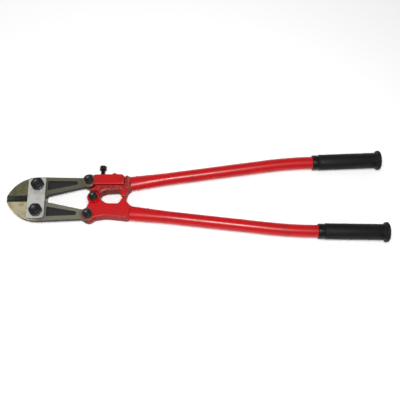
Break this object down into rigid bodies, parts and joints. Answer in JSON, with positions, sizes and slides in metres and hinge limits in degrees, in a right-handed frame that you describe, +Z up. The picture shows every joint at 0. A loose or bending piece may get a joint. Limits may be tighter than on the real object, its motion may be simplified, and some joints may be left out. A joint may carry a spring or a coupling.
{
  "type": "bolt cutters",
  "caption": "Long-handled bolt cutters: forged jaws between side straps, forged brackets with an adjuster arm, red steel tube handles and ribbed black rubber grips.",
  "frame": {"origin": "middle of the tool's box in plan, on the flat surface it lies on, with the jaws closed", "axes": "+X from the jaws to the grips, +Y to the side with the adjusting screw, +Z up out of the flat side with the bolt heads"},
  "size_m": [0.7664, 0.196, 0.0419],
  "materials": {
    "red_enamel": "glossy red enamel over forged and tubular steel",
    "black_oxide_steel": "black oxide, oiled",
    "forged_jaw_steel": "forged alloy steel, ground faces under a clear olive lacquer",
    "plated_steel": "satin zinc plate",
    "grip_rubber": "moulded rubber with a fine grained surface"
  },
  "bodies": {
    "strap_set": {"top_strap": "plated_steel", "bottom_strap": "plated_steel", "upper_jaw_bolt": "black_oxide_steel", "lower_jaw_bolt": "black_oxide_steel", "upper_jaw_nut": "black_oxide_steel", "lower_jaw_nut": "black_oxide_steel"},
    "upper_jaw": {"upper_jaw": "forged_jaw_steel"},
    "lower_jaw": {"lower_jaw": "forged_jaw_steel"},
    "center_pivot": {"center_bolt": "black_oxide_steel", "center_nut": "black_oxide_steel"},
    "upper_handle": {"upper_bracket": "red_enamel", "arm_pin": "red_enamel", "clamp_screw": "black_oxide_steel", "upper_tube": "red_enamel", "upper_tube_rivets": "red_enamel", "upper_grip": "grip_rubber"},
    "lower_handle": {"lower_bracket": "red_enamel", "lower_tube": "red_enamel", "lower_tube_rivets": "red_enamel", "lower_grip": "grip_rubber", "lower_pivot_bolt": "black_oxide_steel", "lower_pivot_nut": "black_oxide_steel"},
    "adjuster_arm": {"adjuster_arm": "red_enamel", "upper_pivot_bolt": "black_oxide_steel", "upper_pivot_nut": "black_oxide_steel"},
    "adjusting_screw": {"adjusting_screw": "black_oxide_steel"}
  },
  "joints": [
    {"name": "upper_handle_swing", "type": "hinge", "parent": "center_pivot", "child": "upper_handle", "pos_m": [-0.20622, 0, 0.0202], "axis": [0, 0, 1], "range_deg": [0, 45]},
    {"name": "lower_handle_swing", "type": "hinge", "parent": "center_pivot", "child": "lower_handle", "pos_m": [-0.20622, 0, 0.0202], "axis": [0, 0, -1], "range_deg": [0, 45]},
    {"name": "center_travel", "type": "slide", "parent": "strap_set", "child": "center_pivot", "axis": [1, 0, 0], "range_m": [0, 0.02257]},
    {"name": "upper_jaw_swing", "type": "hinge", "parent": "strap_set", "child": "upper_jaw", "pos_m": [-0.31922, 0.0276, 0.0202], "axis": [0, 0, -1], "range_deg": [0, 9.95]},
    {"name": "lower_jaw_swing", "type": "hinge", "parent": "strap_set", "child": "lower_jaw", "pos_m": [-0.31922, -0.0276, 0.0202], "axis": [0, 0, 1], "range_deg": [0, 9.95]},
    {"name": "adjusting_screw_turn", "type": "hinge", "parent": "adjuster_arm", "child": "adjusting_screw", "pos_m": [-0.19072, 0.058, 0.0202], "axis": [0, 1, 0], "range_deg": [0, 120.5]},
    {"name": "adjuster_arm_tilt", "type": "hinge", "parent": "upper_handle", "child": "adjuster_arm", "pos_m": [-0.15322, 0.0395, 0.0202], "axis": [0, 0, 1], "range_deg": [0, 0.6]}
  ],
  "couplings": [
    {"joint": "lower_handle_swing", "follows": "upper_handle_swing", "ratio": 1},
    {"joint": "center_travel", "follows": "upper_handle_swing", "m_per_rad": 0.02872},
    {"joint": "upper_jaw_swing", "follows": "upper_handle_swing", "ratio": 0.22016},
    {"joint": "lower_jaw_swing", "follows": "upper_handle_swing", "ratio": 0.22016},
    {"joint": "adjusting_screw_turn", "follows": "adjuster_arm_tilt", "ratio": 200}
  ]
}
